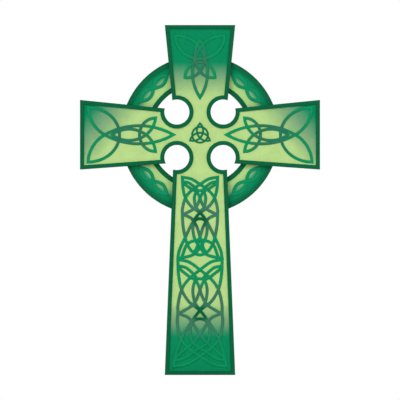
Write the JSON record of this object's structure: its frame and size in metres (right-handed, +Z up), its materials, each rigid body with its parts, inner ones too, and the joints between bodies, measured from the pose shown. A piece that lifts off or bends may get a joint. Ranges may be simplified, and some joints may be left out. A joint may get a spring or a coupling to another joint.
{
  "type": "celtic cross gravestone",
  "caption": "Upright stone ring cross with tapered arms and shaft, round hollows between the arms, raised borders and interlaced knot carving on its front.",
  "frame": {"origin": "middle of the flat underside of the shaft, on the ground", "axes": "+Z up the shaft, -Y out of the carved front, X along the side arms"},
  "size_m": [0.96, 0.15, 1.4],
  "materials": {
    "painted_stone": "fine-grained stone under a matt green mineral wash"
  },
  "bodies": {
    "root": {"cross": "painted_stone"}
  },
  "joints": []
}
